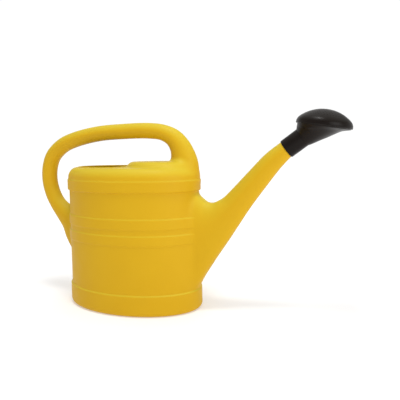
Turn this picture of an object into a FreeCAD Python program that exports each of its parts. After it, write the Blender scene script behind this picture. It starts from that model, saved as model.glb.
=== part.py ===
"""Ten litre garden watering can: one hollow blow-moulded can (tank, spout and handle) with a push-on rose.

Frame: millimetres, +Z up, +X from the tank towards the spout, origin on the floor under the middle of the
oval tank. The can is symmetric about the plane Y = 0, where its mould would part.
"""
import FreeCAD
import Part

import math
import os

from FreeCAD import Vector

# Driving dimensions of the can
WALL = 2.0  # thickness of the blow-moulded wall
TANK_HALF_LENGTH = 140.6  # half length of the oval tank at its shoulder
TANK_ASPECT = 0.64  # half width over half length of the oval
FOOT_SPREAD = 2.5  # the tank is this much longer each way at the floor than at the shoulder
FOOT_RADIUS = 9.5
FOOT_RING = 18.0  # width of the ring that the can stands on
BASE_RECESS = 3.0
RECESS_RADIUS = 2.0  # rounding where the recess meets its sides
RING_RADIUS = 1.0  # rounding of the standing ring's inner edge
FOOT_TRIM = 0.5  # the base is shaped this far below the floor, then trimmed flat to a true standing ring
SHOULDER_Z = 260.5
SHOULDER_RADIUS = 17.5
SHOULDER_LEAN = 1.0  # the shoulder draws in this much on its way up
TOP_Z = 283.5  # flat top round the filling mouth
RIM_Z = 285.0
RIM_WIDTH = 3.5
RIM_RADIUS = 1.2
# Raised bands round the tank: bottom, top and how far they stand proud
FOOT_BAND_TOP = 43.0
FOOT_BAND_PROUD = 2.8
SHOULDER_BAND_BOTTOM = 237.0
SHOULDER_BAND_PROUD = 3.6
SHOULDER_LEDGE = 2.0  # step in from the shoulder band to the shoulder
MIDDLE_BANDS = [(136.5, 157.5), (167.5, 189.0)]
MIDDLE_BAND_PROUD = 1.8
BAND_SLOPE = 1.2  # height over which each band's edge steps out

# Hood in front of the filling mouth
HOOD_X = 62.0
HOOD_HALF_LENGTH = 74.0
HOOD_ASPECT = 0.80
HOOD_Z = 294.5
HOOD_RADIUS = 14.0
HOOD_LEAN = 6.0  # the hood draws in this much on its way up
HOOD_CROWN = 2.0  # its top rises this much from its edge to its middle
# Filling mouth: a D behind the hood, half an oval to the rear and squarer to the front
MOUTH_X = -42.0  # where the D is widest
MOUTH_REAR = 74.0
MOUTH_FRONT = 28.0
MOUTH_HALF_WIDTH = 60.0
MOUTH_SQUARENESS = 3.6
MOUTH_POINTS = 36
MOUTH_CUT = 20.0

# Spout: straight end that the rose pushes onto
SPOUT_END_ANGLE = 36.4
SPOUT_MOUTH = Vector(311.5, 0, 316.0)  # where the rose's socket begins
SPOUT_END_RADIUS = 15.6
SPOUT_END_LENGTH = 28.0  # length of spout inside the socket
SPOUT_END_LAP = 4.0  # how far the straight end reaches back into the curved spout
SPOUT_SHOULDER = 0.35  # small step that the mouth of the socket seats on
# Spout sections from the tank outwards: x and z of the centre, angle of the axis above level in degrees,
# half height, half width, squareness
SPOUT_SECTIONS = [
    (118.0, 130.0, 0.0, 104.0, 31.0, 2.8),
    (146.0, 139.5, 0.0, 86.5, 29.0, 2.8),
    (159.0, 145.5, 0.0, 71.5, 27.5, 2.7),
    (180.0, 165.5, 7.0, 50.1, 25.2, 2.5),
    (200.5, 189.5, 24.0, 34.3, 23.0, 2.3),
    (213.5, 205.3, 38.0, 28.0, 21.8, 2.1),
    (226.9, 222.5, 48.0, 25.0, 20.8, 2.0),
    (258.7, 260.8, 49.5, 21.6, 19.2, 2.0),
    (288.2, 294.8, 45.0, 18.9, 17.7, 2.0),
    (311.5, 316.0, 36.4, SPOUT_END_RADIUS + SPOUT_SHOULDER, SPOUT_END_RADIUS + SPOUT_SHOULDER, 2.0),
]

# Handle sections from the rear root over the top to the front root: x and z of the centre, half depth in
# the plane of the can, half width across it
HANDLE_SECTIONS = [
    (-102.6, 107.0, 45.0, 19.0),
    (-133.8, 149.6, 39.2, 18.5),
    (-149.0, 167.0, 31.0, 18.0),
    (-169.0, 184.0, 21.5, 17.0),
    (-186.0, 203.0, 17.0, 16.3),
    (-197.5, 224.0, 16.2, 16.0),
    (-204.5, 252.0, 16.0, 16.0),
    (-203.0, 280.0, 16.0, 16.0),
    (-192.5, 306.0, 16.0, 16.0),
    (-168.0, 327.5, 16.0, 16.0),
    (-138.0, 339.7, 16.0, 16.0),
    (-79.0, 351.7, 15.6, 16.0),
    (-20.0, 355.3, 15.5, 16.0),
    (38.0, 355.5, 15.6, 16.0),
    (70.0, 351.3, 15.8, 16.3),
    (92.0, 340.4, 17.8, 16.8),
    (105.7, 323.2, 21.0, 17.5),
    (112.2, 305.0, 25.0, 19.0),
    (116.0, 285.0, 27.3, 21.0),
    (117.0, 255.0, 25.0, 22.0),
]

# Rose: socket over the spout's end, funnel, and a domed face that snaps over the funnel's rim
SOCKET_OUTER_RADIUS = 17.8
SOCKET_CLEARANCE = 0.08
SOCKET_LENGTH = 35.0
SOCKET_STOP = 28.4  # depth of the shoulder that the spout's end meets
SOCKET_STOP_RADIUS = 13.0
SOCKET_EDGE_RADIUS = 1.6
SOCKET_GAP = 0.1  # running gap between the socket and the funnel
ROSE_CENTRE = Vector(377.0, 0, 361.0)  # middle of the face's skirt
ROSE_TILT = 8.9  # the face's axis leans this many degrees forward of vertical
ROSE_WALL = 2.0
FACE_RADIUS = 48.6
FACE_DOME_RADIUS = 66.0
FACE_APEX = 24.0
SKIRT_BOTTOM = -5.5
SKIRT_WALL = 2.3
FACE_CLEARANCE = 0.3
FUNNEL_RADIUS = FACE_RADIUS - SKIRT_WALL - FACE_CLEARANCE
FUNNEL_RIM_TOP = 1.0
FUNNEL_THROAT = (-9.0, -12.5, 36.5, 38.0)  # where the funnel turns out to its rim: offset, height, half sizes
FUNNEL_RIM_START = (-0.5, -7.0, 0.6)  # foot of the rim: offset, height, step in from the rim's radius
FUNNEL_MIDDLE = (351.3, 344.6, 59.0, 25.0, 27.5)  # middle section: x, z, angle of its axis, half sizes
RIM_OVERLAP = 1.5
FACE_SHOULDER_RADIUS = 3.0
HOLE_RADIUS = 0.65
HOLE_RINGS = 8
HOLE_RING_STEP = 4.7
HOLES_PER_RING = 6

SECTION_POINTS = 24
SEAM_TURN = math.pi / 4  # each section starts part of the way round, so that seams don't cross


def rounded_edges(corners):
    """Lines and tangent arcs through corners (radius from the axis, height, rounding) in the XZ plane."""
    points = [Vector(x, 0, z) for x, z, _ in corners]
    edges = []
    start = points[0]
    for before, corner, after, (_, _, radius) in zip(points, points[1:], points[2:], corners[1:-1]):
        if radius <= 0:
            edges.append(Part.makeLine(start, corner))
            start = corner
            continue
        back = (before - corner).normalize()
        ahead = (after - corner).normalize()
        half = back.getAngle(ahead) / 2
        setback = radius / math.tan(half)
        middle = (back + ahead).normalize() * (radius / math.sin(half) - radius)
        arc_start = corner + back * setback
        arc_end = corner + ahead * setback
        if (arc_start - start).Length > 1e-6:
            edges.append(Part.makeLine(start, arc_start))
        edges.append(Part.Arc(arc_start, corner + middle, arc_end).toShape())
        start = arc_end
    edges.append(Part.makeLine(start, points[-1]))
    return edges


def oval_solid(corners, aspect, centre_x=0.0):
    """Outline turned about Z, then narrowed in Y so that every level section is an oval.

    The outline starts in the YZ plane, so the seam is on the can's flank, clear of the spout and the handle.
    """
    edges = rounded_edges(corners)
    edges.append(Part.makeLine(edges[-1].Vertexes[-1].Point, edges[0].Vertexes[0].Point))
    round_solid = Part.Face(Part.Wire(edges)).revolve(Vector(0, 0, 0), Vector(0, 0, 1), 360)
    round_solid.rotate(Vector(0, 0, 0), Vector(0, 0, 1), 90)
    narrow = FreeCAD.Matrix()
    narrow.scale(1.0, aspect, 1.0)
    solid = round_solid.transformGeometry(narrow)
    solid.translate(Vector(centre_x, 0, 0))
    return solid


def wall_radius(z):
    """Half length of the plain tank wall at a height."""
    return TANK_HALF_LENGTH + FOOT_SPREAD * (1 - z / SHOULDER_Z)


def tank_corners():
    """Half outline of the tank from the middle of the base to the middle of the top."""
    foot = wall_radius(0) + FOOT_BAND_PROUD
    ring_inside = foot - FOOT_RADIUS - FOOT_RING
    corners = [
        (0, BASE_RECESS, 0),
        (ring_inside - BASE_RECESS, BASE_RECESS, RECESS_RADIUS),
        (ring_inside, -FOOT_TRIM, RING_RADIUS),
        (foot, -FOOT_TRIM, FOOT_RADIUS),
        (wall_radius(FOOT_BAND_TOP) + FOOT_BAND_PROUD, FOOT_BAND_TOP - BAND_SLOPE, 0),
        (wall_radius(FOOT_BAND_TOP), FOOT_BAND_TOP, 0),
    ]
    for low, high in MIDDLE_BANDS:
        corners += [
            (wall_radius(low), low, 0),
            (wall_radius(low) + MIDDLE_BAND_PROUD, low + BAND_SLOPE, 0),
            (wall_radius(high) + MIDDLE_BAND_PROUD, high - BAND_SLOPE, 0),
            (wall_radius(high), high, 0),
        ]
    band = SHOULDER_BAND_BOTTOM
    corners += [
        (wall_radius(band), band, 0),
        (wall_radius(band) + SHOULDER_BAND_PROUD, band + BAND_SLOPE, 0),
        (wall_radius(SHOULDER_Z) + SHOULDER_BAND_PROUD, SHOULDER_Z - BAND_SLOPE, 0),
        (wall_radius(SHOULDER_Z) + SHOULDER_LEDGE, SHOULDER_Z, 0),
        (wall_radius(SHOULDER_Z) - SHOULDER_LEAN, TOP_Z, SHOULDER_RADIUS),
        (0, TOP_Z, 0),
    ]
    return corners


def cavity_corners():
    """Half outline of the space inside the tank. The bands are only on the outside."""
    foot = wall_radius(0) + FOOT_BAND_PROUD
    return [
        (0, BASE_RECESS + WALL, 0),
        (foot - FOOT_RADIUS - FOOT_RING, BASE_RECESS + WALL, 0),
        (foot - FOOT_RADIUS, WALL, 0),
        (wall_radius(0) - WALL, FOOT_RADIUS, 0),
        (wall_radius(SHOULDER_Z) - WALL, TOP_Z - WALL, SHOULDER_RADIUS - WALL),
        (0, TOP_Z - WALL, 0),
    ]


def hood_corners(shrink):
    """Half outline of the hood, closed at its foot inside the tank."""
    return [
        (0, SHOULDER_Z, 0),
        (HOOD_HALF_LENGTH - shrink, SHOULDER_Z, 0),
        (HOOD_HALF_LENGTH - shrink - HOOD_LEAN, HOOD_Z - shrink - HOOD_CROWN, HOOD_RADIUS - shrink),
        (0, HOOD_Z - shrink, 0),
    ]


def mouth_face(grow, z):
    """The filling mouth's D outline, grown outwards, as a level face."""
    points = []
    for i in range(MOUTH_POINTS):
        turn = 2 * math.pi * i / MOUTH_POINTS + SEAM_TURN
        c, s = math.cos(turn), math.sin(turn)
        length, power = (MOUTH_FRONT, MOUTH_SQUARENESS) if c > 0 else (MOUTH_REAR, 2.0)
        reach = (abs(c) ** power + abs(s) ** power) ** (-1 / power)
        x = MOUTH_X + (length + grow) * reach * c
        points.append(Vector(x, (MOUTH_HALF_WIDTH + grow) * reach * s, z))
    outline = Part.BSplineCurve()
    outline.interpolate(Points=points, PeriodicFlag=True)
    return Part.Face(Part.Wire([outline.toShape()]))


def rim_bead():
    """Raised lip round the filling mouth."""
    outer = mouth_face(RIM_WIDTH, TOP_Z - WALL).extrude(Vector(0, 0, RIM_Z - TOP_Z + WALL))
    top_edges = [e for e in outer.Edges if e.BoundBox.ZMin > RIM_Z - 0.01]
    return outer.makeFillet(RIM_RADIUS, top_edges)


def section_curve(centre, angle, half_height, half_width, squareness=2.0):
    """A closed rounded section about a centre, square to an axis that climbs at an angle in the XZ plane."""
    up = Vector(-math.sin(math.radians(angle)), 0, math.cos(math.radians(angle)))
    across = Vector(0, 1, 0)
    points = []
    for i in range(SECTION_POINTS):
        turn = 2 * math.pi * i / SECTION_POINTS + SEAM_TURN
        c, s = math.cos(turn), math.sin(turn)
        reach = (abs(c) ** squareness + abs(s) ** squareness) ** (-1 / squareness)
        points.append(centre + up * (half_height * reach * c) + across * (half_width * reach * s))
    curve = Part.BSplineCurve()
    spacing = [i / SECTION_POINTS for i in range(SECTION_POINTS + 1)]
    curve.interpolate(Points=points, PeriodicFlag=True, Parameters=spacing)
    return curve


def skinned_solid(curves):
    """A closed solid whose side passes smoothly through the sections and whose ends are flat."""
    surface = Part.BSplineSurface()
    surface.buildFromNSections(curves)
    side = surface.toShape()
    ends = [Part.Face(Part.Wire([edge])) for edge in side.Edges if edge.isClosed()]
    shell = Part.Compound([side] + ends)
    shell.sewShape()
    solid = Part.makeSolid(Part.Shell(shell.Faces))
    if solid.Volume < 0:
        solid.reverse()
    return solid


def spout_direction():
    angle = math.radians(SPOUT_END_ANGLE)
    return Vector(math.cos(angle), 0, math.sin(angle))


def spout_solid(shrink, extra_length):
    """The spout as a filled form, each section shrunk by a wall, with its straight round end."""
    curves = [
        section_curve(Vector(x, 0, z), angle, high - shrink, wide - shrink, squareness)
        for x, z, angle, high, wide, squareness in SPOUT_SECTIONS
    ]
    end = Part.makeCylinder(
        SPOUT_END_RADIUS - shrink,
        SPOUT_END_LENGTH + extra_length + SPOUT_END_LAP,
        SPOUT_MOUTH - spout_direction() * SPOUT_END_LAP,
        spout_direction(),
    )
    return skinned_solid(curves).fuse(end)


def handle_solid(shrink):
    """The handle as a filled form from root to root, each section shrunk by a wall."""
    path = Part.BSplineCurve()
    path.interpolate([Vector(x, 0, z) for x, z, _, _ in HANDLE_SECTIONS])
    curves = []
    for x, z, deep, wide in HANDLE_SECTIONS:
        tangent = path.tangent(path.parameter(Vector(x, 0, z)))[0]
        angle = math.degrees(math.atan2(tangent.z, tangent.x))
        curves.append(section_curve(Vector(x, 0, z), angle, deep - shrink, wide - shrink))
    return skinned_solid(curves)


def can_pieces():
    """The hollow can, divided where its spout and its handle leave the tank."""
    tank = oval_solid(tank_corners(), TANK_ASPECT)
    trim_side = 3 * TANK_HALF_LENGTH
    below_floor = Part.makeBox(
        trim_side, trim_side, 2 * FOOT_TRIM, Vector(-trim_side / 2, -trim_side / 2, -2 * FOOT_TRIM)
    )
    tank = tank.cut(below_floor).fuse([oval_solid(hood_corners(0), HOOD_ASPECT, HOOD_X), rim_bead()])
    inner_aspect = (TANK_HALF_LENGTH * TANK_ASPECT - WALL) / (TANK_HALF_LENGTH - WALL)
    inner_hood_aspect = (HOOD_HALF_LENGTH * HOOD_ASPECT - WALL) / (HOOD_HALF_LENGTH - WALL)
    inside = oval_solid(cavity_corners(), inner_aspect)
    inside = inside.fuse(oval_solid(hood_corners(WALL), inner_hood_aspect, HOOD_X))
    mouth = mouth_face(0, TOP_Z - MOUTH_CUT).extrude(Vector(0, 0, 2 * MOUTH_CUT))
    spout_inside = spout_solid(WALL, MOUTH_CUT)
    handle_inside = handle_solid(WALL)
    body = tank.cut([inside, mouth, spout_inside, handle_inside])
    spout = spout_solid(0, 0).cut([spout_inside, tank])
    handle = handle_solid(0).cut([handle_inside, tank])
    return body, spout, handle


def along_socket(distance):
    """The point on the socket's axis at a distance from its mouth."""
    return SPOUT_MOUTH + spout_direction() * distance


def socket_cylinder(radius, start, end):
    return Part.makeCylinder(radius, end - start, along_socket(start), spout_direction())


def rose_socket():
    """The collar that pushes over the spout's end, with a shoulder inside that stops on it."""
    outside = socket_cylinder(SOCKET_OUTER_RADIUS, 0, SOCKET_LENGTH)
    mouth_edge = min(outside.Edges, key=lambda edge: edge.CenterOfMass.distanceToPoint(SPOUT_MOUTH))
    outside = outside.makeFillet(SOCKET_EDGE_RADIUS, [mouth_edge])
    bore = socket_cylinder(SPOUT_END_RADIUS + SOCKET_CLEARANCE, 0, SOCKET_STOP)
    waterway = socket_cylinder(SOCKET_STOP_RADIUS, 0, SOCKET_LENGTH)
    return outside.cut([bore, waterway])


def stand_rose(shape):
    """Move a shape from the rose face's own frame, axis up, to its place on the can."""
    placed = shape.copy()
    placed.Placement = FreeCAD.Placement(
        ROSE_CENTRE, FreeCAD.Rotation(Vector(0, 1, 0), ROSE_TILT)
    ).multiply(placed.Placement)
    return placed


def rose_point(x, z):
    """A point of the rose face's own XZ plane, in the can's frame."""
    return FreeCAD.Rotation(Vector(0, 1, 0), ROSE_TILT).multVec(Vector(x, 0, z)) + ROSE_CENTRE


def funnel_form(shrink):
    """The funnel from the socket's end to the rim, filled, each section shrunk by a wall."""
    offset, height, half_deep, half_wide = FUNNEL_THROAT
    socket_end = along_socket(SOCKET_LENGTH + SOCKET_GAP)
    across_face = 90.0 - ROSE_TILT
    middle_x, middle_z, middle_angle, middle_deep, middle_wide = FUNNEL_MIDDLE
    start = SOCKET_OUTER_RADIUS - shrink
    throat = rose_point(offset, height)
    curves = [
        section_curve(socket_end, SPOUT_END_ANGLE, start, start),
        section_curve(
            Vector(middle_x, 0, middle_z), middle_angle, middle_deep - shrink, middle_wide - shrink
        ),
        section_curve(throat, across_face, half_deep - shrink, half_wide - shrink),
        section_curve(
            rose_point(FUNNEL_RIM_START[0], FUNNEL_RIM_START[1]),
            across_face,
            FUNNEL_RADIUS - shrink - FUNNEL_RIM_START[2],
            FUNNEL_RADIUS - shrink - FUNNEL_RIM_START[2],
        ),
    ]
    return skinned_solid(curves)


def rose_funnel():
    """The rose's funnel with the upright rim that the face snaps over."""
    rim_low = FUNNEL_RIM_START[1] - RIM_OVERLAP
    rim = Part.makeCylinder(FUNNEL_RADIUS, FUNNEL_RIM_TOP - rim_low, Vector(0, 0, rim_low))
    rim_inside = Part.makeCylinder(
        FUNNEL_RADIUS - ROSE_WALL, FUNNEL_RIM_TOP - FUNNEL_RIM_START[1] + RIM_OVERLAP,
        Vector(0, 0, FUNNEL_RIM_START[1])
    )
    return funnel_form(0).fuse(stand_rose(rim)).cut([funnel_form(ROSE_WALL), stand_rose(rim_inside)])


def dome_height(radius, thickness):
    """Height of the dome, or of its underside, above the skirt's middle at a distance from the axis."""
    sphere = FACE_DOME_RADIUS - thickness
    return FACE_APEX - FACE_DOME_RADIUS + math.sqrt(sphere ** 2 - radius ** 2)


def rose_face():
    """The domed face with its skirt, drilled in rings of fine holes square to the dome."""
    inner = FACE_RADIUS - SKIRT_WALL
    edge_height = dome_height(FACE_RADIUS, 0)
    top_mid = dome_height(FACE_RADIUS / 2, 0)
    under_mid = dome_height(inner / 2, ROSE_WALL)
    outline = Part.Wire([
        Part.Arc(
            Vector(0, 0, dome_height(0, 0)), Vector(FACE_RADIUS / 2, 0, top_mid),
            Vector(FACE_RADIUS, 0, edge_height),
        ).toShape(),
        Part.makeLine(Vector(FACE_RADIUS, 0, edge_height), Vector(FACE_RADIUS, 0, SKIRT_BOTTOM)),
        Part.makeLine(Vector(FACE_RADIUS, 0, SKIRT_BOTTOM), Vector(inner, 0, SKIRT_BOTTOM)),
        Part.makeLine(Vector(inner, 0, SKIRT_BOTTOM), Vector(inner, 0, dome_height(inner, ROSE_WALL))),
        Part.Arc(
            Vector(inner, 0, dome_height(inner, ROSE_WALL)), Vector(inner / 2, 0, under_mid),
            Vector(0, 0, dome_height(0, ROSE_WALL)),
        ).toShape(),
        Part.makeLine(Vector(0, 0, dome_height(0, ROSE_WALL)), Vector(0, 0, dome_height(0, 0))),
    ])
    dome = Part.Face(outline).revolve(Vector(0, 0, 0), Vector(0, 0, 1), 360)
    shoulder = [
        edge for edge in dome.Edges
        if abs(edge.BoundBox.ZMax - edge_height) < 0.01 and edge.BoundBox.ZLength < 0.01
    ]
    dome = dome.makeFillet(FACE_SHOULDER_RADIUS, shoulder)
    centre = Vector(0, 0, FACE_APEX - FACE_DOME_RADIUS)
    drills = []
    for ring in range(HOLE_RINGS + 1):
        lean = math.asin(ring * HOLE_RING_STEP / FACE_DOME_RADIUS)
        for i in range(max(1, HOLES_PER_RING * ring)):
            turn = 2 * math.pi * i / max(1, HOLES_PER_RING * ring)
            out = Vector(
                math.sin(lean) * math.cos(turn), math.sin(lean) * math.sin(turn), math.cos(lean)
            )
            start = centre + out * (FACE_DOME_RADIUS - 2 * ROSE_WALL)
            drills.append(Part.makeCylinder(HOLE_RADIUS, 3 * ROSE_WALL, start, out))
    return stand_rose(dome.cut(Part.Compound(drills)))


def export(name, shape):
    shape.exportStep(os.path.join("parts", name + ".step"))
    box = shape.optimalBoundingBox()
    sizes = [round(v, 1) for v in (box.XMin, box.XMax, box.YMin, box.YMax, box.ZMin, box.ZMax)]
    print(name, len(shape.Solids), "solid", shape.isValid(), round(shape.Volume / 1000, 2), "cm3", sizes)


def main():
    os.makedirs("parts", exist_ok=True)
    body, spout, handle = can_pieces()
    export("can_body", body)
    export("spout", spout)
    export("handle", handle)
    export("rose_socket", rose_socket())
    export("rose_funnel", rose_funnel())
    export("rose_face", rose_face())


main()
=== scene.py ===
"""Ten litre garden watering can: a one-piece blow-moulded yellow can and its black push-on rose.

The can's skin is one continuous surface, the level set of a distance field in which the tank, hood, handle
and spout run into each other with soft corners, as blown plastic does. Lengths are millimetres in the CAD
frame, except in the materials, the lights and the camera, which are in metres.
"""

import math

import bmesh
import bpy
import numpy as np
import openvdb
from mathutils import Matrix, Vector


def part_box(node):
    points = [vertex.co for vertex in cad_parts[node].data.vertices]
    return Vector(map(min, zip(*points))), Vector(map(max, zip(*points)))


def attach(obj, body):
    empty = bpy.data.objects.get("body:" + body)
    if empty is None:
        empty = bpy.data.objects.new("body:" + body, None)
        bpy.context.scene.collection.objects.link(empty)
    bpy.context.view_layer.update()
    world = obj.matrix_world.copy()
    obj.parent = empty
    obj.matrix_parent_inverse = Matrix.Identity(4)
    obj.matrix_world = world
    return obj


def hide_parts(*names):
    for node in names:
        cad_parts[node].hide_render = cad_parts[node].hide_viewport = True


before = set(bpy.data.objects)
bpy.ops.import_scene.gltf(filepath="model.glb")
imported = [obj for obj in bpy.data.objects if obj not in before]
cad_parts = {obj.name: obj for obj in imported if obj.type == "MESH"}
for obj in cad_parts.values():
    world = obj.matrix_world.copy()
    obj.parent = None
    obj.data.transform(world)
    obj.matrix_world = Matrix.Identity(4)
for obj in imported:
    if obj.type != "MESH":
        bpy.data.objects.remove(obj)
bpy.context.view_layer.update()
MM = 0.001


def node_box(node):
    """Lowest and highest corners of a CAD node in millimetres."""
    low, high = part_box(node)
    return [v / MM for v in low], [v / MM for v in high]


TANK_LOW, TANK_HIGH = node_box("can_body")
SPOUT_HIGH = node_box("spout")[1]
HANDLE_LOW, HANDLE_HIGH = node_box("handle")

# ---------------------------------------------------------------- the can's shape, with the CAD's main sizes

TANK_ASPECT = TANK_HIGH[1] / TANK_HIGH[0]
FOOT = TANK_HIGH[0]  # half length at the foot band, the widest place
FOOT_BAND_PROUD = 2.8
FOOT_SPREAD = 2.5
SHOULDER_Z = 260.5
TANK_HALF_LENGTH = FOOT - FOOT_BAND_PROUD - FOOT_SPREAD
TOP_Z = 283.5
BASE_RECESS = 3.0
WALL = 2.0
# Bands round the tank: bottom, top, proud
BANDS = [
    (-20.0, 43.0, FOOT_BAND_PROUD),
    (136.5, 157.5, 1.8),
    (167.5, 189.0, 1.8),
    (237.0, SHOULDER_Z, 3.6),
]
BAND_SLOPE = 1.8  # height over which a band's edge steps out
FOOT_RADIUS = 9.5
FOOT_RING = 18.0  # width of the ring that the can stands on
RECESS_LIMITS = (-50.0, 4.0)  # the recess's distances are cut off here, away from its faces
SHOULDER_RADIUS = 17.5
SHOULDER_LEDGE = 2.0  # how far the foot of the shoulder stands out from the wall
SHOULDER_LEAN = 1.0  # how far its top would lie inside the wall without the rounding

HOOD_X = 62.0
HOOD_HALF_LENGTH = 74.0
HOOD_ASPECT = 0.80
HOOD_Z = 294.5
HOOD_RADIUS = 14.0
HOOD_LEAN = 6.0  # how far its sides lean in from the shoulder's height to its top
HOOD_ROOT = 10.0  # how far its form goes down below the shoulder's height

MOUTH_X = -42.0
MOUTH_REAR = 74.0
MOUTH_FRONT = 28.0
MOUTH_HALF_WIDTH = 60.0
MOUTH_SQUARENESS = 3.6
MOUTH_CUT_GROW = 1.5  # the skins are cut this far outside the mouth's outline, under its lip
MOUTH_CUT_REACH = 12.0  # and this far above and below the tank's top

# The mouth's rolled lip
LIP_TOP = 285.0
LIP_BELOW = 0.6  # how far it reaches below the inside of the tank's top
LIP_IN = -0.4  # its inner side, outwards from the mouth's outline
LIP_OUT = 3.4  # its outer side, in the same way
LIP_RADIUS = 1.3

# Spout sections: x, z of the centre, angle of the axis above level in degrees, half height, half width,
# squareness
SPOUT_SECTIONS = [
    (118.0, 130.0, 0.0, 104.0, 31.0, 2.8),
    (146.0, 139.5, 0.0, 86.5, 29.0, 2.8),
    (159.0, 145.5, 0.0, 71.5, 27.5, 2.7),
    (180.0, 165.5, 7.0, 50.1, 25.2, 2.5),
    (200.5, 189.5, 24.0, 34.3, 23.0, 2.3),
    (213.5, 205.3, 38.0, 28.0, 21.8, 2.1),
    (226.9, 222.5, 48.0, 25.0, 20.8, 2.0),
    (258.7, 260.8, 49.5, 21.6, 19.2, 2.0),
    (288.2, 294.8, 45.0, 18.9, 17.7, 2.0),
    (311.5, 316.0, 36.4, 15.95, 15.95, 2.0),
]
SPOUT_ANGLE = math.radians(36.4)
SPOUT_DIRECTION = Vector((math.cos(SPOUT_ANGLE), 0, math.sin(SPOUT_ANGLE)))
SPOUT_MOUTH = Vector((311.5, 0, 316.0))
SPOUT_END_RADIUS = 15.6
SPOUT_END_LENGTH = 28.0
SPOUT_END_STEP = 1.2  # length over which the spout steps in to its straight end
SPOUT_END_SPARE = 4.0  # extra length, cut off again at the end's mouth
SPOUT_LIP_LENGTH = 3.0
SPOUT_LIP_RADIUS = 0.9

# Handle sections: x, z of the centre, half depth in the plane of the can, half width across it
HANDLE_SECTIONS = [
    (-102.6, 107.0, 45.0, 19.0),
    (-133.8, 149.6, 39.2, 18.5),
    (-149.0, 167.0, 31.0, 18.0),
    (-169.0, 184.0, 21.5, 17.0),
    (-186.0, 203.0, 17.0, 16.3),
    (-197.5, 224.0, 16.2, 16.0),
    (-204.5, 252.0, 16.0, 16.0),
    (-203.0, 280.0, 16.0, 16.0),
    (-192.5, 306.0, 16.0, 16.0),
    (-168.0, 327.5, 16.0, 16.0),
    (-138.0, 339.7, 16.0, 16.0),
    (-79.0, 351.7, 15.6, 16.0),
    (-20.0, 355.3, 15.5, 16.0),
    (38.0, 355.5, 15.6, 16.0),
    (70.0, 351.3, 15.8, 16.3),
    (92.0, 340.4, 17.8, 16.8),
    (105.7, 323.2, 21.0, 17.5),
    (112.2, 305.0, 25.0, 19.0),
    (116.0, 285.0, 27.3, 21.0),
    (117.0, 255.0, 25.0, 22.0),
]

# Radii of the soft corners where one form runs into another
BLEND_HOOD = 5.0
BLEND_HANDLE = 11.0
BLEND_SPOUT = 12.0

OUTER_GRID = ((2.0, 2.0, 1.3))
INNER_GRID = (4.0, 4.0, 3.0)
GRID_MARGIN = 8.0
GRID_DEPTH = 3.0  # the grid keeps distances up to this many of its steps
SPANS = 8  # steps between two sections of the handle or the spout

# A point beside a stretch of centreline belongs to that stretch. Failing that it belongs to an end of the
# line, and last of all to a stretch that it lies past.
PAST_END = 500.0
PAST_STRETCH = 1000.0


# ---------------------------------------------------------------- the distance field

def smooth_step(t):
    """From 0 to 1 as t goes from 0 to 1, level at both ends."""
    t = np.clip(t, 0.0, 1.0)
    return t * t * (3.0 - 2.0 * t)


def smooth_union(a, b, radius):
    """The nearer of two surfaces, with a soft corner where they cross."""
    h = np.clip(0.5 + 0.5 * (b - a) / radius, 0.0, 1.0)
    return b + (a - b) * h - radius * h * (1.0 - h)


def round_box(u, v, radius):
    """Distance to a corner whose sides are u = 0 and v = 0 with everything inside negative."""
    a, b = u + radius, v + radius
    return np.minimum(np.maximum(a, b), 0.0) + np.hypot(np.maximum(a, 0.0), np.maximum(b, 0.0)) - radius


def band_relief(z):
    """How far the bands stand proud of the plain wall at a height."""
    relief = np.zeros_like(z)
    for low, high, proud in BANDS:
        relief = relief + proud * smooth_step((z - low) / BAND_SLOPE) * smooth_step((high - z) / BAND_SLOPE)
    climb = np.clip((z - SHOULDER_Z) / (TOP_Z - SHOULDER_Z), 0.0, 1.0)
    shoulder = SHOULDER_LEDGE - (SHOULDER_LEDGE + SHOULDER_LEAN) * climb
    return np.where(z > SHOULDER_Z - BAND_SLOPE, np.maximum(relief, shoulder), relief)


def oval(x, y, aspect):
    """Half length of the oval that passes through a point, and how fast that grows with distance."""
    reach = np.sqrt(x * x + (y / aspect) ** 2)
    slope = np.sqrt(x * x + y * y / aspect ** 4) / np.maximum(reach, 1e-6)
    return reach, np.maximum(slope, 1.0)


def tank_field(x, y, z, with_bands):
    """The oval tank, with its bands, recessed base and rounded shoulder."""
    reach, slope = oval(x, y, TANK_ASPECT)
    wall = TANK_HALF_LENGTH + FOOT_SPREAD * (1.0 - np.clip(z, 0, SHOULDER_Z) / SHOULDER_Z)
    if with_bands:
        wall = wall + band_relief(z)
    side = (reach - wall) / slope
    crown = round_box(side, z - TOP_Z, SHOULDER_RADIUS)
    lower = round_box(side, -z, FOOT_RADIUS)
    field = np.where(z > 0.5 * TOP_Z, crown, lower)
    recess_side = (FOOT - FOOT_RADIUS - FOOT_RING - reach) / slope
    recess = np.minimum(recess_side, BASE_RECESS - z)
    return np.maximum(field, np.clip(recess, *RECESS_LIMITS))


def hood_field(x, y, z):
    """The low oval hood in front of the filling mouth."""
    reach, slope = oval(x - HOOD_X, y, HOOD_ASPECT)
    lean = HOOD_LEAN * (z - SHOULDER_Z) / (HOOD_Z - SHOULDER_Z)
    side = (reach - HOOD_HALF_LENGTH + lean) / slope
    crown = round_box(side, z - HOOD_Z, HOOD_RADIUS)
    return np.maximum(crown, SHOULDER_Z - HOOD_ROOT - z)


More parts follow.
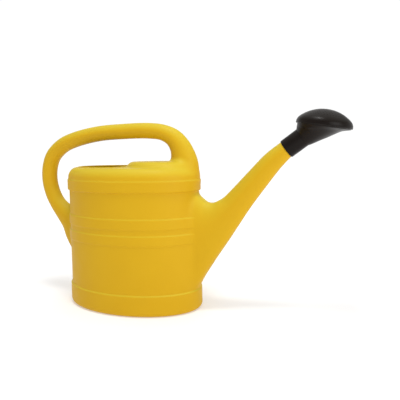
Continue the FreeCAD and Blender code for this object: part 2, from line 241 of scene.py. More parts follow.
def spline(points, count):
    """Centripetal Catmull-Rom interpolation of rows of values, count steps to each span."""
    rows = np.asarray(points, float)
    ends = np.vstack([2 * rows[0] - rows[1], rows, 2 * rows[-1] - rows[-2]])
    knots = [0.0]
    for a, b in zip(ends, ends[1:]):
        knots.append(knots[-1] + max(np.hypot(*(b[:2] - a[:2])), 1e-6) ** 0.5)
    out = []
    for i in range(1, len(ends) - 2):
        p0, p1, p2, p3 = ends[i - 1:i + 3]
        t0, t1, t2, t3 = knots[i - 1:i + 3]
        last = i == len(ends) - 3
        for t in np.linspace(t1, t2, count, endpoint=last):
            a1 = (t1 - t) / (t1 - t0) * p0 + (t - t0) / (t1 - t0) * p1
            a2 = (t2 - t) / (t2 - t1) * p1 + (t - t1) / (t2 - t1) * p2
            a3 = (t3 - t) / (t3 - t2) * p2 + (t - t2) / (t3 - t2) * p3
            b1 = (t2 - t) / (t2 - t0) * a1 + (t - t0) / (t2 - t0) * a2
            b2 = (t3 - t) / (t3 - t1) * a2 + (t - t1) / (t3 - t1) * a3
            out.append((t2 - t) / (t2 - t1) * b1 + (t - t1) / (t2 - t1) * b2)
    return np.array(out)


class Sweep:
    """A form swept along a centreline in the XZ plane, with its own angle and size at every point."""

    def __init__(self, centres, angles, deep, wide, square):
        """Rows along the line: centres as x and z, angles, half sizes in and off the plane, squarenesses."""
        self.centres, self.angles = centres, angles
        self.deep, self.wide, self.square = deep, wide, square

    def tabulate(self, xs, zs):
        self.start = (xs[0], zs[0])
        self.step = (xs[1] - xs[0], zs[1] - zs[0])
        x, z = np.meshgrid(xs, zs, indexing="ij")
        self.table = np.stack(self.sections_at(x, z))

    def lookup(self, x, z):
        """Sections at points of the XZ plane, between the grid's own."""
        u = np.clip((x - self.start[0]) / self.step[0], 0, self.table.shape[1] - 1.001)
        v = np.clip((z - self.start[1]) / self.step[1], 0, self.table.shape[2] - 1.001)
        i, j = u.astype(int), v.astype(int)
        u, v = u - i, v - j
        return (
            self.table[:, i, j] * (1 - u) * (1 - v)
            + self.table[:, i + 1, j] * u * (1 - v)
            + self.table[:, i, j + 1] * (1 - u) * v
            + self.table[:, i + 1, j + 1] * u * v
        )

    def sections_at(self, x, z):
        """For points of the plane: offset from the centreline, distance past an end, and the sizes there."""
        best = np.full(x.shape, np.inf)
        offset = np.zeros(x.shape)
        beyond = np.zeros(x.shape)
        deep = np.zeros(x.shape)
        wide = np.zeros(x.shape)
        square = np.zeros(x.shape)
        count = len(self.centres)
        for i in range(count - 1):
            c0, c1 = self.centres[i], self.centres[i + 1]
            n0 = (math.cos(self.angles[i]), math.sin(self.angles[i]))
            n1 = (math.cos(self.angles[i + 1]), math.sin(self.angles[i + 1]))
            d0 = (x - c0[0]) * n0[0] + (z - c0[1]) * n0[1]
            d1 = (x - c1[0]) * n1[0] + (z - c1[1]) * n1[1]
            t = np.clip(d0 / np.where(np.abs(d0 - d1) < 1e-9, 1e-9, d0 - d1), 0.0, 1.0)
            outside = np.where(d0 < 0, -d0, np.where(d1 > 0, d1, 0.0))
            px = c0[0] + (c1[0] - c0[0]) * t
            pz = c0[1] + (c1[1] - c0[1]) * t
            distance = np.hypot(x - px, z - pz)
            score = distance + PAST_STRETCH * np.minimum(outside, 1.0) * (outside > 1e-9)
            if i in (0, count - 2):
                score = np.minimum(score, distance + PAST_END + outside)
            angle = self.angles[i] * (1 - t) + self.angles[i + 1] * t
            v = -(x - px) * np.sin(angle) + (z - pz) * np.cos(angle)
            closer = score < best
            best = np.where(closer, score, best)
            offset = np.where(closer, v, offset)
            ends_here = (i == 0) & (d0 < 0) | (i == count - 2) & (d1 > 0)
            beyond = np.where(closer, np.where(ends_here, outside, 0.0), beyond)
            deep = np.where(closer, self.deep[i] * (1 - t) + self.deep[i + 1] * t, deep)
            wide = np.where(closer, self.wide[i] * (1 - t) + self.wide[i + 1] * t, wide)
            square = np.where(closer, self.square[i] * (1 - t) + self.square[i + 1] * t, square)
        return offset, beyond, deep, wide, square


def section_field(sections, y):
    """Distance to a swept form's surface, from its sections in the XZ plane and the distance y off it."""
    offset, beyond, deep, wide, square = sections
    u = np.maximum(np.abs(offset) / deep, 1e-4)
    v = np.maximum(np.abs(y) / wide, 1e-4)
    reach = (u ** square + v ** square) ** (1.0 / square)
    slope = np.hypot(u ** (square - 1) / deep, v ** (square - 1) / wide) * reach ** (1.0 - square)
    side = (reach - 1.0) / np.maximum(slope, 1e-5)
    return np.where(beyond > 0, np.hypot(np.maximum(side, 0.0), beyond), side)


def spout_sweep():
    """The spout's curved sections, and then its straight round end."""
    bent = [(x, z, math.radians(a), h, w, q) for x, z, a, h, w, q in SPOUT_SECTIONS]
    straight = []
    for along in (SPOUT_END_STEP, SPOUT_END_LENGTH + SPOUT_END_SPARE):
        place = SPOUT_MOUTH + SPOUT_DIRECTION * along
        straight.append((place.x, place.z, SPOUT_ANGLE, SPOUT_END_RADIUS, SPOUT_END_RADIUS, 2.0))
    curve = np.vstack([spline(bent, SPANS), straight])
    return Sweep(curve[:, :2], curve[:, 2], curve[:, 3], curve[:, 4], curve[:, 5])


def handle_sweep():
    """The handle's sections, each square to the line through their centres."""
    curve = spline(HANDLE_SECTIONS, SPANS)
    tangent = np.gradient(curve[:, :2], axis=0)
    angles = np.unwrap(np.arctan2(tangent[:, 1], tangent[:, 0]))
    return Sweep(curve[:, :2], angles, curve[:, 2], curve[:, 3], np.full(len(curve), 2.0))


SPOUT = spout_sweep()
HANDLE = handle_sweep()


def can_field(x, y, z, spout, handle, with_bands):
    """The whole can. spout and handle are their own fields at the same points."""
    field = tank_field(x, y, z, with_bands)
    field = smooth_union(field, hood_field(x, y, z), BLEND_HOOD)
    field = smooth_union(field, handle, BLEND_HANDLE)
    return smooth_union(field, spout, BLEND_SPOUT)


def grid_axes(spacing):
    """Where a grid's points lie along each axis, from one side of the can to the other."""
    low = np.array([HANDLE_LOW[0], TANK_LOW[1], TANK_LOW[2]]) - GRID_MARGIN
    high = np.array([SPOUT_HIGH[0], TANK_HIGH[1], HANDLE_HIGH[2]]) + GRID_MARGIN
    return [np.arange(low[i], high[i] + spacing[i], spacing[i]) for i in range(3)]


def field_at(points, with_bands):
    """The can's field at any points, from the sweeps' tables."""
    x, y, z = points.T
    spout = section_field(SPOUT.lookup(x, z), y)
    handle = section_field(HANDLE.lookup(x, z), y)
    return can_field(x, y, z, spout, handle, with_bands)


def onto_surface(points, level, with_bands, passes=3, reach=0.8, step=0.3, least_slope=0.2):
    """Move points along the field's slope until they lie on its surface at a level."""
    for _ in range(passes):
        value = field_at(points, with_bands) - level
        slope = []
        for axis in range(3):
            shift = np.zeros(3)
            shift[axis] = step
            ahead = field_at(points + shift, with_bands)
            slope.append((ahead - field_at(points - shift, with_bands)) / (2 * step))
        slope = np.stack(slope, axis=1)
        move = slope * (value / np.maximum((slope ** 2).sum(axis=1), least_slope))[:, None]
        size = np.linalg.norm(move, axis=1)
        points = points - move * np.minimum(1.0, reach / np.maximum(size, 1e-9))[:, None]
    return points


def level_surface(spacing, level, with_bands):
    """Vertices and quads where the can's field has a value: 0 is the outside, less is further in."""
    xs, ys, zs = grid_axes(spacing)
    for sweep in (SPOUT, HANDLE):
        sweep.tabulate(xs, zs)
    plane_x, plane_z = np.meshgrid(xs, zs, indexing="ij")
    volume = np.empty((len(xs), len(ys), len(zs)), dtype=np.float32)
    for j, y in enumerate(ys):
        across = np.full(plane_x.shape, y)
        spout = section_field(SPOUT.table, across)
        handle = section_field(HANDLE.table, across)
        volume[:, j, :] = can_field(plane_x, across, plane_z, spout, handle, with_bands) - level
    depth = GRID_DEPTH * max(spacing)
    grid = openvdb.FloatGrid(depth)
    grid.copyFromArray(np.clip(volume, -depth, depth))
    points, quads = grid.convertToQuads(isovalue=0.0)
    points = points.astype(float) * np.array(spacing) + np.array([xs[0], ys[0], zs[0]])
    return onto_surface(points, level, with_bands), quads


# ---------------------------------------------------------------- meshes

def new_object(name, verts, faces):
    """A mesh object from millimetres, put into the scene."""
    mesh = bpy.data.meshes.new(name)
    mesh.from_pydata([tuple(v * MM for v in p) for p in verts], [], faces)
    made = bpy.data.objects.new(name, mesh)
    bpy.context.scene.collection.objects.link(made)
    return made


def new_piece(name, verts, faces, body, slot):
    """A mesh object that rides on a body. slot is not used."""
    piece = new_object(name, verts, faces)
    piece.data.validate()
    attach(piece, body)
    return piece


def mouth_reach(x, y, grow):
    """Under 1 inside the filling mouth's D outline moved outwards by grow, 1 on it."""
    front = np.abs(x - MOUTH_X) / (MOUTH_FRONT + grow)
    rear = np.abs(x - MOUTH_X) / (MOUTH_REAR + grow)
    side = np.abs(y) / (MOUTH_HALF_WIDTH + grow)
    power = MOUTH_SQUARENESS
    squarer = (front ** power + side ** power) ** (1.0 / power)
    return np.where(x > MOUTH_X, squarer, np.hypot(rear, side))


def cut_openings(points, quads, end_radius):
    """Open a skin at the filling mouth and at the spout's end, with its cut edges on the true outlines."""
    end = SPOUT_MOUTH + SPOUT_DIRECTION * SPOUT_END_LENGTH
    along = (points - np.array(end)) @ np.array(SPOUT_DIRECTION)
    reach = mouth_reach(points[:, 0], points[:, 1], MOUTH_CUT_GROW)
    height = points[:, 2]
    in_mouth = (reach < 1.0) & (height > TOP_Z - MOUTH_CUT_REACH) & (height < TOP_Z + MOUTH_CUT_REACH)
    past_end = along > 0.0
    gone = in_mouth | past_end
    keep = ~gone[quads].all(axis=1)
    quads = quads[keep]
    edge = np.zeros(len(points), bool)
    edge[np.unique(quads)] = True
    in_plan = points[:, :2] - np.array([MOUTH_X, 0.0])
    on_mouth = edge & in_mouth
    points = points.copy()
    points[on_mouth, :2] = np.array([MOUTH_X, 0.0]) + in_plan[on_mouth] / reach[on_mouth][:, None]
    on_end = edge & past_end
    flat = points[on_end] - along[on_end][:, None] * np.array(SPOUT_DIRECTION)
    centre = np.array(end)
    spoke = flat - centre
    points[on_end] = centre + spoke * (end_radius / np.linalg.norm(spoke, axis=1))[:, None]
    used, index = np.unique(quads, return_inverse=True)
    return points[used], index.reshape(quads.shape)


def swept_ring(path, normals, section):
    """Verts and faces of a closed section of (out, up) pairs, swept round a closed level path."""
    verts, faces = [], []
    count, around = len(path), len(section)
    for (x, y), (nx, ny) in zip(path, normals):
        verts += [(x + nx * out, y + ny * out, up) for out, up in section]
    for i in range(count):
        k = (i + 1) % count
        for j in range(around):
            m = (j + 1) % around
            faces.append((i * around + j, k * around + j, k * around + m, i * around + m))
    return verts, faces


def mouth_rim(steps=160, corner_steps=4):
    """The rolled lip of the filling mouth, a rounded bead on the D outline."""
    angles = 2 * np.pi * np.arange(steps) / steps
    c, s = np.cos(angles), np.sin(angles)
    power = np.where(c > 0, MOUTH_SQUARENESS, 2.0)
    reach = (np.abs(c) ** power + np.abs(s) ** power) ** (-1.0 / power)
    x = MOUTH_X + np.where(c > 0, MOUTH_FRONT, MOUTH_REAR) * reach * c
    y = MOUTH_HALF_WIDTH * reach * s
    tangent = np.stack([np.roll(x, -1) - np.roll(x, 1), np.roll(y, -1) - np.roll(y, 1)], axis=1)
    tangent /= np.linalg.norm(tangent, axis=1)[:, None]
    normals = np.stack([tangent[:, 1], -tangent[:, 0]], axis=1)
    section = []
    low, high = TOP_Z - WALL - LIP_BELOW + LIP_RADIUS, LIP_TOP - LIP_RADIUS
    inner, outer = LIP_IN + LIP_RADIUS, LIP_OUT - LIP_RADIUS
    centres = [(inner, low), (outer, low), (outer, high), (inner, high)]
    for quarter, (out, up) in enumerate(centres):
        for k in range(corner_steps + 1):
            turn = math.pi + (quarter + k / corner_steps) * math.pi / 2
            section.append((out + LIP_RADIUS * math.cos(turn), up + LIP_RADIUS * math.sin(turn)))
    return swept_ring(list(zip(x, y)), normals, section)


def lathe(profile, centre, axis, steps, closed=True):
    """Verts and faces of a profile of (radius, height) pairs turned about an axis.

    A closed profile is joined from its last pair back to its first."""
    axis = Vector(axis).normalized()
    side = axis.cross(Vector((0, 1, 0))).normalized()
    other = axis.cross(side)
    verts, faces = [], []
    rings = []
    for radius, height in profile:
        base = Vector(centre) + axis * height
        if radius < 1e-6:
            rings.append([len(verts)] * steps)
            verts.append(tuple(base))
            continue
        rings.append(list(range(len(verts), len(verts) + steps)))
        for i in range(steps):
            turn = 2 * math.pi * i / steps
            verts.append(tuple(base + (side * math.cos(turn) + other * math.sin(turn)) * radius))
    pairs = list(zip(rings, rings[1:]))
    if closed:
        pairs.append((rings[-1], rings[0]))
    for low, high in pairs:
        for i in range(steps):
            k = (i + 1) % steps
            corners = [low[i], low[k], high[k], high[i]]
            corners = [c for n, c in enumerate(corners) if c not in corners[:n]]
            if len(corners) > 2:
                faces.append(tuple(corners))
    return verts, faces


def rounded(points, radius_of, steps=5):
    """A closed outline of (radius, height) pairs, each corner rounded by its own radius."""
    out = []
    count = len(points)
    for i, point in enumerate(points):
        radius = radius_of[i]
        here = Vector(point)
        if radius <= 0:
            out.append(tuple(here))
            continue
        back = (Vector(points[i - 1]) - here).normalized()
        ahead = (Vector(points[(i + 1) % count]) - here).normalized()
        half = back.angle(ahead) / 2
        setback = radius / math.tan(half)
        middle = here + (back + ahead).normalized() * (radius / math.sin(half))
        first = (here + back * setback) - middle
        last = (here + ahead * setback) - middle
        for k in range(steps + 1):
            turn = first.lerp(last, k / steps).normalized() * radius
            out.append(tuple(middle + turn))
    return out


def join_parts(parts):
    """One list of verts and faces from several."""
    verts, faces = [], []
    for more, polygons in parts:
        start = len(verts)
        verts += [tuple(v) for v in more]
        faces += [tuple(int(i) + start for i in f) for f in polygons]
    return verts, faces


def build_can():
    """The can's outer and inner skins, closed by the spout's lip and the filling mouth's."""
    bore = SPOUT_END_RADIUS - WALL
    outer, outer_quads = level_surface(OUTER_GRID, 0.0, True)
    inner, inner_quads = level_surface(INNER_GRID, -WALL, False)
    outer, outer_quads = cut_openings(outer, outer_quads, SPOUT_END_RADIUS)
    inner, inner_quads = cut_openings(inner, inner_quads, bore)
    end = SPOUT_MOUTH + SPOUT_DIRECTION * SPOUT_END_LENGTH
    lip = [
        (bore, -SPOUT_LIP_LENGTH), (SPOUT_END_RADIUS, -SPOUT_LIP_LENGTH),
        (SPOUT_END_RADIUS, 0.0), (bore, 0.0),
    ]
    lip = rounded(lip, [0, 0, SPOUT_LIP_RADIUS, SPOUT_LIP_RADIUS])
    return join_parts([
        (outer, outer_quads),
        (inner, inner_quads[:, ::-1]),
        lathe(lip, end, SPOUT_DIRECTION, 64),
        mouth_rim(),
    ])


# ---------------------------------------------------------------- the rose

SOCKET_LENGTH = 35.0
SOCKET_RADIUS = 17.8
SOCKET_BORE = 15.68
SOCKET_STOP = 28.4
SOCKET_WATERWAY = 13.0
SOCKET_GAP = 0.1  # between the socket and the funnel
ROSE_WALL = 2.0
ROSE_TILT = math.radians(8.9)
ROSE_AXIS = Vector((math.sin(ROSE_TILT), 0, math.cos(ROSE_TILT)))
ROSE_FORWARD = Vector((math.cos(ROSE_TILT), 0, -math.sin(ROSE_TILT)))
ROSE_CENTRE = Vector((377.0, 0, 361.0))
FUNNEL_BEND = (351.3, 344.6, math.radians(59.0), 25.0, 27.5)  # x, z, angle, half height, half width
FUNNEL_THROAT = (-9.0, -12.5)  # along and height in the rose's own plane
FUNNEL_THROAT_SIZE = (36.5, 38.0)  # half length, half width
FUNNEL_FOOT = (-0.5, -7.0)  # along and height again
FUNNEL_FOOT_STEP = 0.6  # how much less the radius is at the foot than in the rim above it
FUNNEL_RADIUS = 46.0
# The funnel's upright rim, as (height, how far inside its radius) from its foot outside to its foot inside
FUNNEL_RIM = [(-6.0, 0.0), (0.5, 0.0), (1.0, 0.5), (1.0, 1.5), (0.5, ROSE_WALL), (-5.5, ROSE_WALL)]

FACE_RADIUS = 48.6
DOME_RADIUS = 66.0
DOME_APEX = 24.0
DOME_EDGE = 7.0  # the dome's own rings stop this far inside the face's edge
DOME_RINGS = 24
DOME_ROUNDING = 14.0
SKIRT_BOTTOM = -5.5
SKIRT_WALL = 2.3
SKIRT_ROUNDING = (0.9, 0.5)  # outside and inside

HOLE_RADIUS = 0.65
HOLE_RINGS = 8
HOLE_STEP = 4.7
DRILL_IN = 4.0  # how far a drill reaches below the dome's surface
DRILL_OUT = 2.0


def rose_point(along, height):
    """A point of the rose's own plane: forward of its centre, and above it along the face's axis."""
    return ROSE_CENTRE + ROSE_FORWARD * along + ROSE_AXIS * height


def build_socket():
    """The collar that pushes over the spout's end, with the shoulder inside that stops on it."""
    outline = [
        (SOCKET_RADIUS, 0.0), (SOCKET_RADIUS, SOCKET_LENGTH), (SOCKET_WATERWAY, SOCKET_LENGTH),
        (SOCKET_WATERWAY, SOCKET_STOP), (SOCKET_BORE, SOCKET_STOP), (SOCKET_BORE, 0.0),
    ]
    corners = [1.6, 0.4, 0.3, 0.3, 0.0, 0.4]
    profile = rounded(outline, corners)
    return lathe(profile, SPOUT_MOUTH, SPOUT_DIRECTION, 96)


def funnel_ring(centre, angle, deep, wide, steps):
    """Points round an oval section of the funnel, whose axis is at an angle above level."""
    up = Vector((-math.sin(angle), 0, math.cos(angle)))
    ring = []
    for i in range(steps):
        turn = 2 * math.pi * i / steps
        across = Vector((0, wide * math.sin(turn), 0))
        ring.append(tuple(centre + up * (deep * math.cos(turn)) + across))
    return ring


def build_funnel(steps=112, spans=9):
    """The funnel from the socket's end to the rim, with its wall and the upright rim under the face."""
    start = SPOUT_MOUTH + SPOUT_DIRECTION * (SOCKET_LENGTH + SOCKET_GAP)
    throat = rose_point(*FUNNEL_THROAT)
    foot = rose_point(*FUNNEL_FOOT)
    foot_radius = FUNNEL_RADIUS - FUNNEL_FOOT_STEP
    upright = math.pi / 2 - ROSE_TILT
    sections = [
        (start.x, start.z, SPOUT_ANGLE, SOCKET_RADIUS, SOCKET_RADIUS),
        FUNNEL_BEND,
        (throat.x, throat.z, upright, *FUNNEL_THROAT_SIZE),
        (foot.x, foot.z, upright, foot_radius, foot_radius),
    ]
    outside = [(Vector((x, 0, z)), a, h, w) for x, z, a, h, w in spline(sections, spans)]
    inside = [(c, a, h - ROSE_WALL, w - ROSE_WALL) for c, a, h, w in outside[::-1]]
    rim = []
    for height, inset in FUNNEL_RIM:
        radius = FUNNEL_RADIUS - inset
        rim.append((rose_point(0, height), upright, radius, radius))
    loops = outside + rim + inside
    verts, faces = [], []
    for ring in loops:
        verts += funnel_ring(*ring, steps)
    for n in range(len(loops)):
        m = (n + 1) % len(loops)
        for i in range(steps):
            k = (i + 1) % steps
            faces.append((n * steps + i, n * steps + k, m * steps + k, m * steps + i))
    return verts, faces


def dome_height(radius, inset):
    """Height of the dome, or of the sphere that far inside it, at a radius from its axis."""
    return DOME_APEX - DOME_RADIUS + math.sqrt((DOME_RADIUS - inset) ** 2 - radius ** 2)


def build_face():
    """The domed face and its skirt, before the holes are drilled."""
    inner = FACE_RADIUS - SKIRT_WALL
    dome = [(r, dome_height(r, 0)) for r in np.linspace(0, FACE_RADIUS - DOME_EDGE, DOME_RINGS)]
    edge = [(FACE_RADIUS, dome_height(FACE_RADIUS, 0)), (FACE_RADIUS, SKIRT_BOTTOM), (inner, SKIRT_BOTTOM)]
    under = [(r, dome_height(r, ROSE_WALL)) for r in np.linspace(inner, 0, DOME_RINGS)]
    corners = [0.0] * len(dome) + [DOME_ROUNDING, *SKIRT_ROUNDING] + [0.0] * len(under)
    profile = rounded(dome + edge + under, corners)
    return lathe(profile, ROSE_CENTRE, ROSE_AXIS, 128, closed=False)


def drill_face(face):
    """Rings of fine holes square to the dome, six more in each ring than in the one inside it."""
    centre = rose_point(0, DOME_APEX - DOME_RADIUS)
    side = ROSE_FORWARD
    other = ROSE_AXIS.cross(side)
    profile = [(0.0, -DRILL_IN), (HOLE_RADIUS, -DRILL_IN), (HOLE_RADIUS, DRILL_OUT), (0.0, DRILL_OUT)]
    parts = []
    for ring in range(HOLE_RINGS + 1):
        lean = math.asin(ring * HOLE_STEP / DOME_RADIUS)
        count = max(1, 6 * ring)
        for i in range(count):
            turn = 2 * math.pi * i / count
            out = ROSE_AXIS * math.cos(lean)
            out += (side * math.cos(turn) + other * math.sin(turn)) * math.sin(lean)
            parts.append(lathe(profile, centre + out * DOME_RADIUS, out, 10, closed=False))
    drills = new_object("drills", *join_parts(parts))
    outward_normals(drills)
    cut = face.modifiers.new("holes", "BOOLEAN")
    cut.operation = "DIFFERENCE"
    cut.solver = "EXACT"
    cut.object = drills
    apply_modifiers(face)
    bpy.data.objects.remove(drills)
    smooth_dome(face, centre * MM)


def smooth_dome(face, centre, tolerance=0.001):
    """Shade the drilled dome as the true sphere, in and out."""
    mesh = face.data
    normals = [(0.0, 0.0, 0.0)] * len(mesh.loops)
    for polygon in mesh.polygons:
        spoke = polygon.center - centre
        on_dome = abs(abs(polygon.normal.dot(spoke.normalized())) - 1.0) < tolerance
        if not on_dome or spoke.length < (DOME_RADIUS - 2 * ROSE_WALL) * MM:
            continue
        facing = 1.0 if polygon.normal.dot(spoke) > 0 else -1.0
        for loop in polygon.loop_indices:
            out = (mesh.vertices[mesh.loops[loop].vertex_index].co - centre).normalized()
            normals[loop] = tuple(out * facing)
    mesh.normals_split_custom_set(normals)


def outward_normals(piece):
    """Weld a mesh where its parts meet, and turn its faces outwards."""
    work = bmesh.new()
    work.from_mesh(piece.data)
    bmesh.ops.remove_doubles(work, verts=work.verts, dist=1e-6)
    bmesh.ops.recalc_face_normals(work, faces=work.faces)
    work.to_mesh(piece.data)
    work.free()


def apply_modifiers(piece):
    """Replace a piece's mesh with what its modifiers make of it."""
    shown = piece.evaluated_get(bpy.context.evaluated_depsgraph_get())
    mesh = bpy.data.meshes.new_from_object(shown)
    piece.modifiers.clear()
    piece.data = mesh


# ---------------------------------------------------------------- materials

# Sizes of the noises, as their features to a metre
DRIFT_SCALE = 9.0
SCUFF_SCALE = 60.0
RIPPLE_SCALE = 55.0
GRAIN_SCALE = 1400.0
NOISE_SPAN = (0.3, 0.7)  # the part of a noise's range that is used
TOP_LIGHT_SPAN = (0.05, 0.75)  # how far up a surface faces, from none of the painted top light to the whole of it
ROUGHNESS_SPAN = (-0.05, 0.06)  # how far a scuff takes the roughness down and up
GRAIN_SHARE = 0.25
RIPPLE_SHARE = 1.6
BUMP_HEIGHT = 0.0002
PARTING_SPAN = (0.0002, 0.0009)  # half width of the mould's line, at its crest and at its foot


def node(tree, kind, **values):
    """A shader node, with values for its inputs or its settings by name."""
    new = tree.nodes.new(kind)
    for key, value in values.items():
        if key in new.inputs:
            new.inputs[key].default_value = value
        else:
            setattr(new, key, value)
    return new


def noise(tree, coordinates, scale, detail):
    """A noise of about 0 to 1 over the coordinates."""
    made = node(tree, "ShaderNodeTexNoise", Scale=scale, Detail=detail)
    tree.links.new(coordinates, made.inputs["Vector"])
    return made.outputs["Fac"]


def math_node(tree, operation, *values):
    """The result of an operation on numbers or on other nodes' outputs."""
    made = tree.nodes.new("ShaderNodeMath")
    made.operation = operation
    for i, value in enumerate(values):
        if isinstance(value, bpy.types.NodeSocket):
            tree.links.new(value, made.inputs[i])
        else:
            made.inputs[i].default_value = value
    return made.outputs[0]


def map_range(tree, value, low, high, to_low, to_high):
    """A value moved from one range to another, and kept within it."""
    made = node(tree, "ShaderNodeMapRange")
    made.inputs["From Min"].default_value = low
    made.inputs["From Max"].default_value = high
    made.inputs["To Min"].default_value = to_low
    made.inputs["To Max"].default_value = to_high
    tree.links.new(value, made.inputs["Value"])
    return made.outputs["Result"]


def mix_colours(tree, share, first, second):
    """One colour turning into another as share goes from 0 to 1. The first may be another node's output."""
    made = tree.nodes.new("ShaderNodeMix")
    made.data_type = "RGBA"
    tree.links.new(share, made.inputs["Factor"])
    if isinstance(first, bpy.types.NodeSocket):
        tree.links.new(first, made.inputs[6])
    else:
        made.inputs[6].default_value = (*first, 1.0)
    made.inputs[7].default_value = (*second, 1.0)
    return made.outputs[2]


def moulded_plastic(name, colour, deeper, top_light, roughness, gloss, grain, parting):
    """Satin moulded plastic with a fine grain, whose colour drifts slowly to a deeper one.

    The colour turns to top_light where a surface faces up, a painted top light standing in for light from
    above.
    parting is the height of the mould's line along the middle plane, or nothing."""
    material = bpy.data.materials.new(name)
    material.use_nodes = True
    tree = material.node_tree
    shader = tree.nodes["Principled BSDF"]
    place = tree.nodes.new("ShaderNodeTexCoord").outputs["Object"]
    drift = map_range(tree, noise(tree, place, DRIFT_SCALE, 2.0), *NOISE_SPAN, 0.0, 1.0)
    drifting = mix_colours(tree, drift, colour, deeper)
    # Painted top light: surfaces that face up take the top_light colour, lighter and more lemon, in place of
    # light from above.
    upward = tree.nodes.new("ShaderNodeSeparateXYZ")
    tree.links.new(tree.nodes.new("ShaderNodeNewGeometry").outputs["Normal"], upward.inputs[0])
    top_light_share = map_range(tree, upward.outputs["Z"], *TOP_LIGHT_SPAN, 0.0, 1.0)
    tree.links.new(mix_colours(tree, top_light_share, drifting, top_light), shader.inputs["Base Color"])
    shader.inputs["Specular IOR Level"].default_value = gloss
    scuff = noise(tree, place, SCUFF_SCALE, 4.0)
    rough = map_range(tree, scuff, *NOISE_SPAN, roughness + ROUGHNESS_SPAN[0], roughness + ROUGHNESS_SPAN[1])
    tree.links.new(rough, shader.inputs["Roughness"])
    fine = noise(tree, place, GRAIN_SCALE, 2.0)
    ripple = noise(tree, place, RIPPLE_SCALE, 2.0)
    height = math_node(tree, "MULTIPLY", ripple, RIPPLE_SHARE)
    height = math_node(tree, "MULTIPLY_ADD", fine, GRAIN_SHARE, height)
    if parting:
        split = node(tree, "ShaderNodeSeparateXYZ")
        tree.links.new(place, split.inputs[0])
        away = math_node(tree, "ABSOLUTE", split.outputs["Y"])
        ridge = map_range(tree, away, *PARTING_SPAN, 1.0, 0.0)
        height = math_node(tree, "MULTIPLY_ADD", ridge, parting, height)
    bump = node(tree, "ShaderNodeBump", Strength=grain, Distance=BUMP_HEIGHT)
    tree.links.new(height, bump.inputs["Height"])
    tree.links.new(bump.outputs["Normal"], shader.inputs["Normal"])
    return material


# ---------------------------------------------------------------- pieces

def finish_piece(piece, material, sharp):
    """Give a piece its material and smooth shading. Edges sharper than sharp, in degrees, stay sharp."""
    outward_normals(piece)
    piece.data.materials.append(material)
    piece.data.shade_smooth()
    piece.data.set_sharp_from_angle(angle=math.radians(sharp))


# top_light is each plastic's painted top light, the colour its up-facing surfaces take.
yellow = moulded_plastic(
    "yellow_hdpe", colour=(0.63, 0.372, 0.009), deeper=(0.61, 0.352, 0.008), top_light=(0.63, 0.468, 0.028),
    roughness=0.46, gloss=0.11, grain=0.35, parting=2.5,
)
black = moulded_plastic(
    "black_pp", colour=(0.009, 0.005, 0.0035), deeper=(0.006, 0.004, 0.003), top_light=(0.011, 0.008, 0.006),
    roughness=0.34, gloss=0.12, grain=0.30, parting=0.0,
)

can = new_piece("can_shell", *build_can(), "can", "yellow_hdpe")
finish_piece(can, yellow, 50)
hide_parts("can_body", "spout", "handle")

socket = new_piece("rose_socket_shell", *build_socket(), "socket", "black_pp")
finish_piece(socket, black, 40)
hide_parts("rose_socket")

funnel = new_piece("rose_funnel_shell", *build_funnel(), "funnel", "black_pp")
finish_piece(funnel, black, 40)
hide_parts("rose_funnel")

face = new_piece("rose_face_shell", *build_face(), "face", "black_pp")
finish_piece(face, black, 40)
drill_face(face)
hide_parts("rose_face")


# ---------------------------------------------------------------- floor, light and camera

FLOOR_HALF = 12000.0
FLOOR_TONES = (0.76, 0.80)
FLOOR_TONE_SCALE = 1.5
# The glow is weaker near the can, which paints a darker pool of shade round its foot.
GLOW_SPAN = (0.25, 1.2)  # distance from the origin, in metres
GLOW_STRENGTHS = (0.28, 0.47)

BACKDROP_DIRECTION = (-0.33, 0.94, 0.0)  # the way the camera looks, but level
BACKDROP_SPAN = (0.70, 0.86)  # how nearly a direction agrees with it, from none of the backdrop to all of it
BACKDROP_STRENGTH = 1.03
# Heights of a direction over which the walls darken and the ceiling lights up, and their strengths there
WALL_SPAN, WALL_STRENGTHS = (0.30, 0.42), (0.72, 0.26)
CEILING_SPAN, CEILING_STRENGTHS = (0.45, 0.80), (0.0, 0.68)


def build_stage():
    """A wide pale floor that gives off some light of its own."""
    material = bpy.data.materials.new("pale_floor")
    material.use_nodes = True
    tree = material.node_tree
    shader = tree.nodes["Principled BSDF"]
    place = tree.nodes.new("ShaderNodeTexCoord").outputs["Object"]
    tone = map_range(tree, noise(tree, place, FLOOR_TONE_SCALE, 2.0), *NOISE_SPAN, *FLOOR_TONES)
    tree.links.new(tone, shader.inputs["Base Color"])
    shader.inputs["Roughness"].default_value = 0.9
    shader.inputs["Specular IOR Level"].default_value = 0.1
    shader.inputs["Emission Color"].default_value = (1.0, 1.0, 1.0, 1.0)
    reach = node(tree, "ShaderNodeVectorMath", operation="LENGTH")
    tree.links.new(place, reach.inputs[0])
    # Weaker glow near the origin: a painted pool of shade round the can's foot.
    glow = map_range(tree, reach.outputs["Value"], *GLOW_SPAN, *GLOW_STRENGTHS)
    tree.links.new(glow, shader.inputs["Emission Strength"])
    corners = [(x * FLOOR_HALF, y * FLOOR_HALF, 0.0) for x, y in ((-1, -1), (1, -1), (1, 1), (-1, 1))]
    floor = new_object("floor", corners, [(0, 1, 2, 3)])
    floor.data.materials.append(material)


def area_light(name, place, target, size, power):
    """A rectangular light at a place, turned towards a target. power is in watts."""
    light = bpy.data.lights.new(name, "AREA")
    light.shape = "RECTANGLE"
    light.size, light.size_y = size
    light.energy = power
    lamp = bpy.data.objects.new(name, light)
    lamp.location = place
    lamp.rotation_euler = (Vector(target) - Vector(place)).to_track_quat("-Z", "Y").to_euler()
    bpy.context.scene.collection.objects.link(lamp)


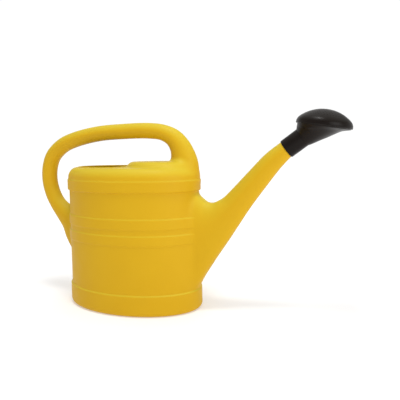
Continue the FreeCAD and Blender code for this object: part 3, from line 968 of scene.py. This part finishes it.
def build_light():
    """A white backdrop behind the can, pale walls, a bright ceiling, a light overhead and one beside."""
    world = bpy.data.worlds.new("studio")
    world.use_nodes = True
    tree = world.node_tree
    background = tree.nodes["Background"]
    background.inputs["Color"].default_value = (1.0, 1.0, 1.0, 1.0)
    towards = node(tree, "ShaderNodeVectorMath", operation="DOT_PRODUCT")
    direction = tree.nodes.new("ShaderNodeTexCoord").outputs["Generated"]
    tree.links.new(direction, towards.inputs[0])
    towards.inputs[1].default_value = BACKDROP_DIRECTION
    backdrop = map_range(tree, towards.outputs["Value"], *BACKDROP_SPAN, 0.0, 1.0)
    height = node(tree, "ShaderNodeSeparateXYZ")
    tree.links.new(direction, height.inputs[0])
    walls = map_range(tree, height.outputs["Z"], *WALL_SPAN, *WALL_STRENGTHS)
    ceiling = map_range(tree, height.outputs["Z"], *CEILING_SPAN, *CEILING_STRENGTHS)
    both = math_node(tree, "ADD", walls, ceiling)
    room = math_node(tree, "MULTIPLY", both, math_node(tree, "SUBTRACT", 1.0, backdrop))
    bright = math_node(tree, "MULTIPLY_ADD", backdrop, BACKDROP_STRENGTH, room)
    tree.links.new(bright, background.inputs["Strength"])
    bpy.context.scene.world = world
    middle = (0.05, 0.0, 0.2)
    area_light("overhead", (0.17, -0.34, 1.7), middle, (0.36, 0.28), 8.5)
    area_light("side_fill", (1.7, -1.0, 0.8), middle, (1.2, 0.9), 12.0)


CAMERA_PLACE = Vector((0.4233, -0.7913, 0.3174))
CAMERA_YAW = math.radians(-19.31)
CAMERA_PITCH = math.radians(6.68)
CAMERA_ROLL = math.radians(-0.593)
CAMERA_LENS = 38.87
CAMERA_SENSOR = 36.0
CAMERA_NEAR = 0.05


def build_camera():
    """The camera, from its place and its turns about the upright, its side and its own axis."""
    data = bpy.data.cameras.new("camera")
    data.lens = CAMERA_LENS
    data.sensor_width = CAMERA_SENSOR
    data.clip_start = CAMERA_NEAR
    camera = bpy.data.objects.new("camera", data)
    level = math.cos(CAMERA_PITCH)
    drop = math.sin(CAMERA_PITCH)
    ahead = Vector((math.sin(CAMERA_YAW) * level, math.cos(CAMERA_YAW) * level, -drop))
    right = ahead.cross(Vector((0, 0, 1))).normalized()
    up = right.cross(ahead)
    turned_right = right * math.cos(CAMERA_ROLL) + up * math.sin(CAMERA_ROLL)
    turned_up = up * math.cos(CAMERA_ROLL) - right * math.sin(CAMERA_ROLL)
    matrix = camera.matrix_world.to_3x3()
    for row in range(3):
        matrix[row][0], matrix[row][1], matrix[row][2] = turned_right[row], turned_up[row], -ahead[row]
    camera.matrix_world = matrix.to_4x4()
    camera.location = CAMERA_PLACE
    bpy.context.scene.collection.objects.link(camera)
    bpy.context.scene.camera = camera


build_stage()
build_light()
build_camera()
bpy.context.scene.view_settings.view_transform = "Standard"
